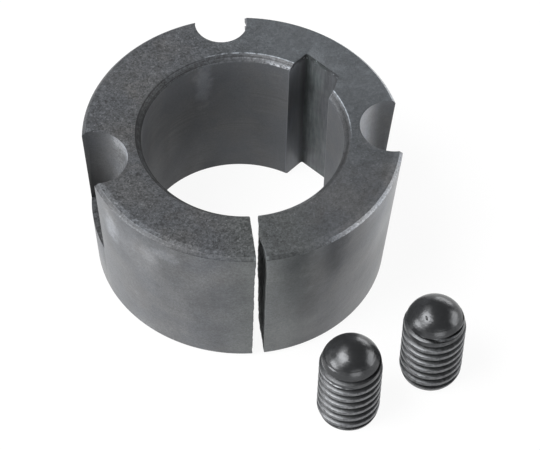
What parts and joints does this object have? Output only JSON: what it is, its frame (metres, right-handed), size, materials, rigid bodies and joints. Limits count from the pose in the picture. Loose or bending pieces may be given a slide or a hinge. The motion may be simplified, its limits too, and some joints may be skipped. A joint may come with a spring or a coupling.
{
  "type": "split taper bush",
  "caption": "Split tapered shaft bush with a keyed straight bore, half-round screw holes in its large end, and domed set screws standing beside it.",
  "frame": {"origin": "on the bore axis, at the small-end face, which is also the surface that the bush and the screws stand on", "axes": "+Z along the bore axis towards the large end; +Y towards the tapped jacking half-hole; the split faces -Y and the plain half-holes face +X and -X"},
  "size_m": [0.0526, 0.0615, 0.0254],
  "materials": {
    "cast_iron_dark": "matt blue-grey phosphated grey iron, fine speckled grain on the large end, brighter machined edges",
    "screw_steel": "semi-gloss black oxide steel, polished thread tips and turned rings on the dome"
  },
  "bodies": {
    "root": {"bush": "cast_iron_dark", "set_screw_left": "screw_steel", "set_screw_right": "screw_steel"}
  },
  "joints": []
}
